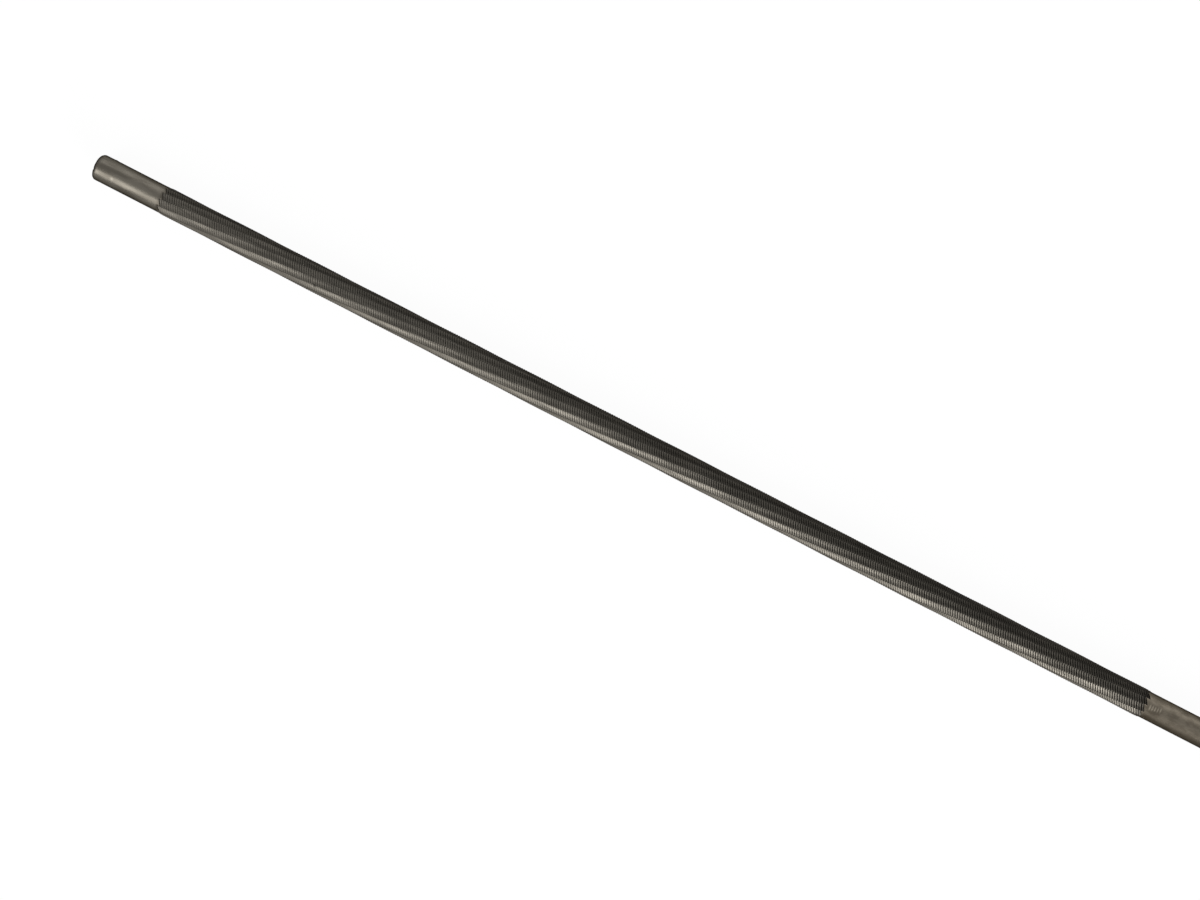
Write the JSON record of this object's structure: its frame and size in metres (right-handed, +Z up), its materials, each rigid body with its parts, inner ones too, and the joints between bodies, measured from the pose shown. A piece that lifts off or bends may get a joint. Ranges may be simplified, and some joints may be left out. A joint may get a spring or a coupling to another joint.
{
  "type": "round file",
  "caption": "Slim parallel round file for sharpening saw chain: plain blunt tip, spiral-cut toothed body, plain round shank and a tapered tang for a handle.",
  "frame": {"origin": "middle of the plain shank, on the file's axis", "axes": "+X along the file's axis from the tip towards the tang, +Z up with the file lying level"},
  "size_m": [0.242, 0.004, 0.004],
  "materials": {
    "file_steel": "satin ground ends, dark toothed body"
  },
  "bodies": {
    "root": {"round_file": "file_steel"}
  },
  "joints": []
}
